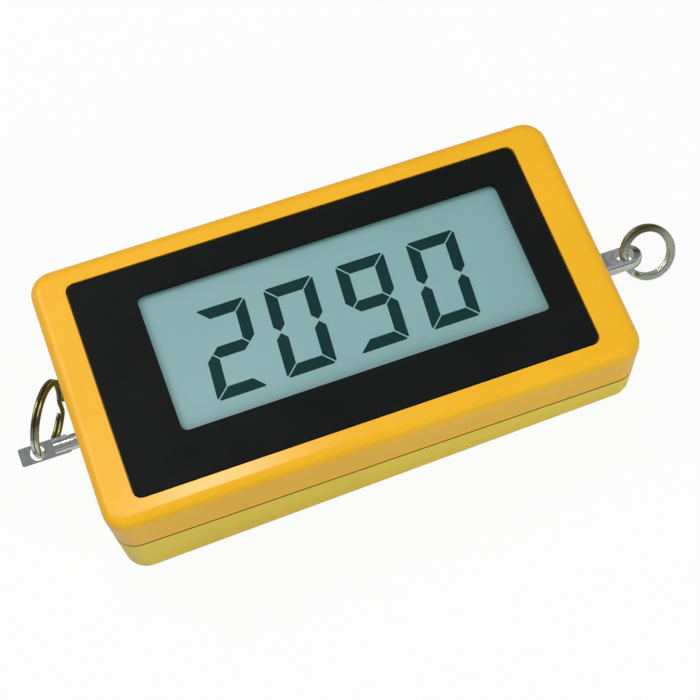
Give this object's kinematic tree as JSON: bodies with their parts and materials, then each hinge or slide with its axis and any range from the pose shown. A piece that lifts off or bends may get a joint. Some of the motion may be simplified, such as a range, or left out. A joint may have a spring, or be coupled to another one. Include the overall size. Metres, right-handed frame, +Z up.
{
  "type": "stringing machine tension calibrator",
  "caption": "Hand-held digital force gauge for checking a racket stringing machine: a tapered two-shell case with a display, and an eye rod with a split ring at each end.",
  "frame": {"origin": "on the flat underside of the rear shell, below the middle of the display panel", "axes": "+X along the case toward the thicker rod, +Y toward the side with the buttons, +Z up out of the underside; the display leans by the case's taper"},
  "size_m": [0.1346, 0.0539, 0.0277],
  "materials": {
    "case_yellow": "satin",
    "panel_black": "satin",
    "clear_lens": "polished",
    "display_teal": "gloss",
    "silver_film": "satin",
    "white_plastic": "matte",
    "soft_black": "matte",
    "board_green": "satin",
    "chip_black": "matte",
    "tin": "satin",
    "ceramic": "matte",
    "chrome": "polished",
    "steel": "satin",
    "aluminium": "satin",
    "brass": "satin",
    "nylon": "satin",
    "gauge_foil": "satin",
    "lead_grey": "matte",
    "lead_red": "satin",
    "button_black": "satin"
  },
  "bodies": {
    "case": {"front_shell": "case_yellow", "rear_shell": "case_yellow", "bezel_plate": "panel_black", "window_lens": "clear_lens", "lcd_glass": "display_teal", "lcd_reflector": "silver_film", "lcd_frame": "white_plastic", "load_cell_socket": "white_plastic", "battery_socket": "white_plastic", "zebra_strip_near": "soft_black", "zebra_strip_far": "soft_black", "battery_seal": "soft_black", "battery_lead_minus": "soft_black", "main_board": "board_green", "microcontroller": "chip_black", "converter_chip": "chip_black", "resistor_1": "chip_black", "resistor_2": "chip_black", "power_switch": "chip_black", "unit_switch": "chip_black", "crystal": "tin", "capacitor_1": "ceramic", "capacitor_2": "ceramic", "eye_rod_left": "chrome", "eye_rod_right": "chrome", "board_screw_1": "steel", "board_screw_2": "steel", "board_screw_3": "steel", "board_screw_4": "steel", "case_screw_1": "steel", "case_screw_2": "steel", "case_screw_3": "steel", "case_screw_4": "steel", "load_cell_screw_1": "steel", "load_cell_screw_2": "steel", "rod_lock_nut_left": "steel", "rod_lock_nut_right": "steel", "coin_cell": "steel", "load_cell": "aluminium", "battery_contact_centre": "brass", "battery_contact_rim": "brass", "rod_bush_left": "nylon", "rod_bush_right": "nylon", "strain_gauge_1": "gauge_foil", "strain_gauge_2": "gauge_foil", "strain_gauge_3": "gauge_foil", "strain_gauge_4": "gauge_foil", "load_cell_lead": "lead_grey", "battery_lead_plus": "lead_red"},
    "split_ring_left": {"split_ring_left": "chrome"},
    "split_ring_right": {"split_ring_right": "chrome"},
    "battery_cover": {"battery_cover": "case_yellow"},
    "power_button": {"power_button": "button_black"},
    "unit_button": {"unit_button": "button_black"}
  },
  "joints": [
    {"name": "left_ring_swing", "type": "hinge", "parent": "case", "child": "split_ring_left", "pos_m": [-0.05845, -0.0019, 0.01317], "axis": [0.0658, -0.342, 0.9374], "range_deg": [0, 150]},
    {"name": "right_ring_swing", "type": "hinge", "parent": "case", "child": "split_ring_right", "pos_m": [0.06196, -0.0019, 0.00472], "axis": [0.0654, 0.3584, 0.9313], "range_deg": [-85, 85]},
    {"name": "battery_cover_turn", "type": "hinge", "parent": "case", "child": "battery_cover", "pos_m": [-0.0334, 0, 0.0007], "axis": [0, 0, -1], "range_deg": [0, 55]},
    {"name": "power_button_press", "type": "slide", "parent": "case", "child": "power_button", "axis": [0, -1, 0], "range_m": [0, 0.0005], "stiffness_N_per_m": 600},
    {"name": "unit_button_press", "type": "slide", "parent": "case", "child": "unit_button", "axis": [0, -1, 0], "range_m": [0, 0.0005], "stiffness_N_per_m": 600}
  ]
}
